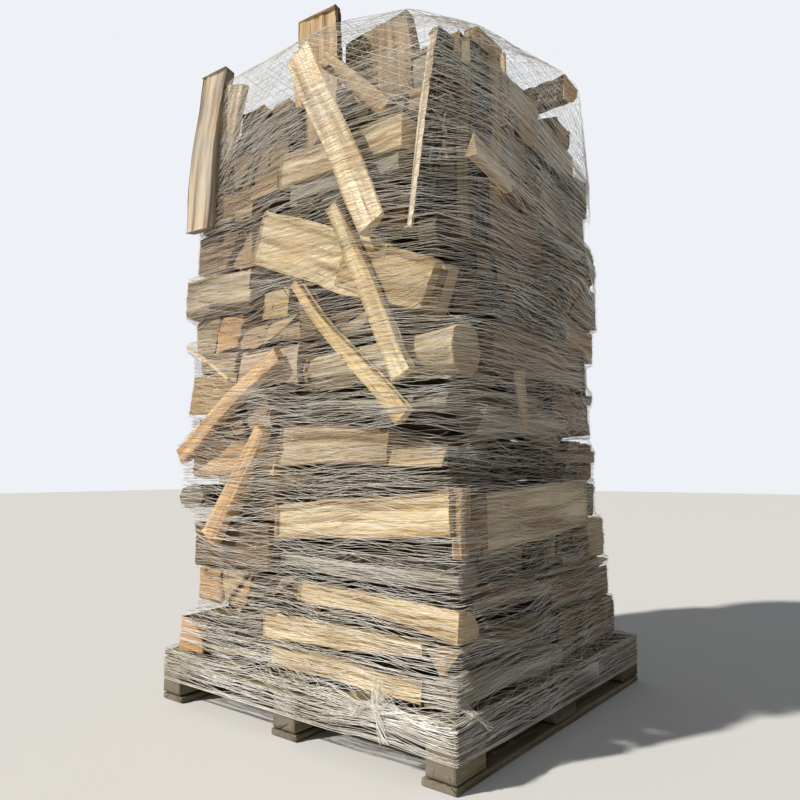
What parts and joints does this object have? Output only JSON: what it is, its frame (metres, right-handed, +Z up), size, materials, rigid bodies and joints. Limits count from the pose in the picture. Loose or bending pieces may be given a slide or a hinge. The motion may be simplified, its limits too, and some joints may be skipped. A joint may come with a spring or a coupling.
{
  "type": "pallet of firewood",
  "caption": "Wooden pallet stacked high with split firewood logs, lying, leaning and standing, wound in white stretch netting from the pallet's blocks to the top.",
  "frame": {"origin": "on the ground, under the middle of the pallet and of the whole object's box", "axes": "+Z up; the front, which the picture shows in the sun, faces -Y, and the shaded side faces +X"},
  "size_m": [1.013, 1.013, 1.9386],
  "materials": {
    "pallet_wood": "sawn boards and blocks, weathered grey-brown",
    "split_wood": "freshly split wood, straw to tan, rough along the grain",
    "grey_wood": "split wood weathered grey",
    "bark": "dark furrowed bark",
    "netting": "thin white knitted stretch netting"
  },
  "bodies": {
    "root": {"bottom_board_left": "pallet_wood", "bottom_board_middle": "pallet_wood", "bottom_board_right": "pallet_wood", "block_front_left": "pallet_wood", "block_centre_left": "pallet_wood", "block_back_left": "pallet_wood", "block_front_middle": "pallet_wood", "block_centre_middle": "pallet_wood", "block_back_middle": "pallet_wood", "block_front_right": "pallet_wood", "block_centre_right": "pallet_wood", "block_back_right": "pallet_wood", "stringer_board_front": "pallet_wood", "stringer_board_centre": "pallet_wood", "stringer_board_back": "pallet_wood", "deck_board_1": "pallet_wood", "deck_board_2": "pallet_wood", "deck_board_3": "pallet_wood", "deck_board_4": "pallet_wood", "deck_board_5": "pallet_wood", "log_front_a4": "split_wood", "log_front_a3": "split_wood", "log_corner_a5": "split_wood", "log_front_a2": "split_wood", "log_front_c1": "split_wood", "log_front_d1": "split_wood", "log_corner_d2": "split_wood", "log_front_f1": "split_wood", "log_front_g2": "split_wood", "log_front_g1": "split_wood", "log_front_i1": "split_wood", "log_lean_e1": "split_wood", "log_lean_h2": "split_wood", "log_lean_h1": "split_wood", "log_lean_k8": "split_wood", "log_lean_k12": "split_wood", "log_stand_i2": "split_wood", "log_stand_i4": "split_wood", "log_stand_j1": "split_wood", "log_stand_k1": "split_wood", "log_side_i7": "split_wood", "log_side_f3": "split_wood", "log_corner_r7": "split_wood", "log_side_r6": "split_wood", "log_top_i8": "split_wood", "log_left_k9": "split_wood", "log_left_k6": "split_wood", "log_left_l1": "split_wood", "stack_lower": "split_wood", "stack_middle": "split_wood", "stack_upper": "split_wood", "log_corner_a6": "grey_wood", "log_front_e2": "grey_wood", "log_side_e3": "grey_wood", "log_side_r2": "grey_wood", "log_front_b1": "bark", "log_front_c2": "bark", "log_stand_i3": "bark", "log_left_k14": "bark", "net_wrap": "netting"}
  },
  "joints": []
}
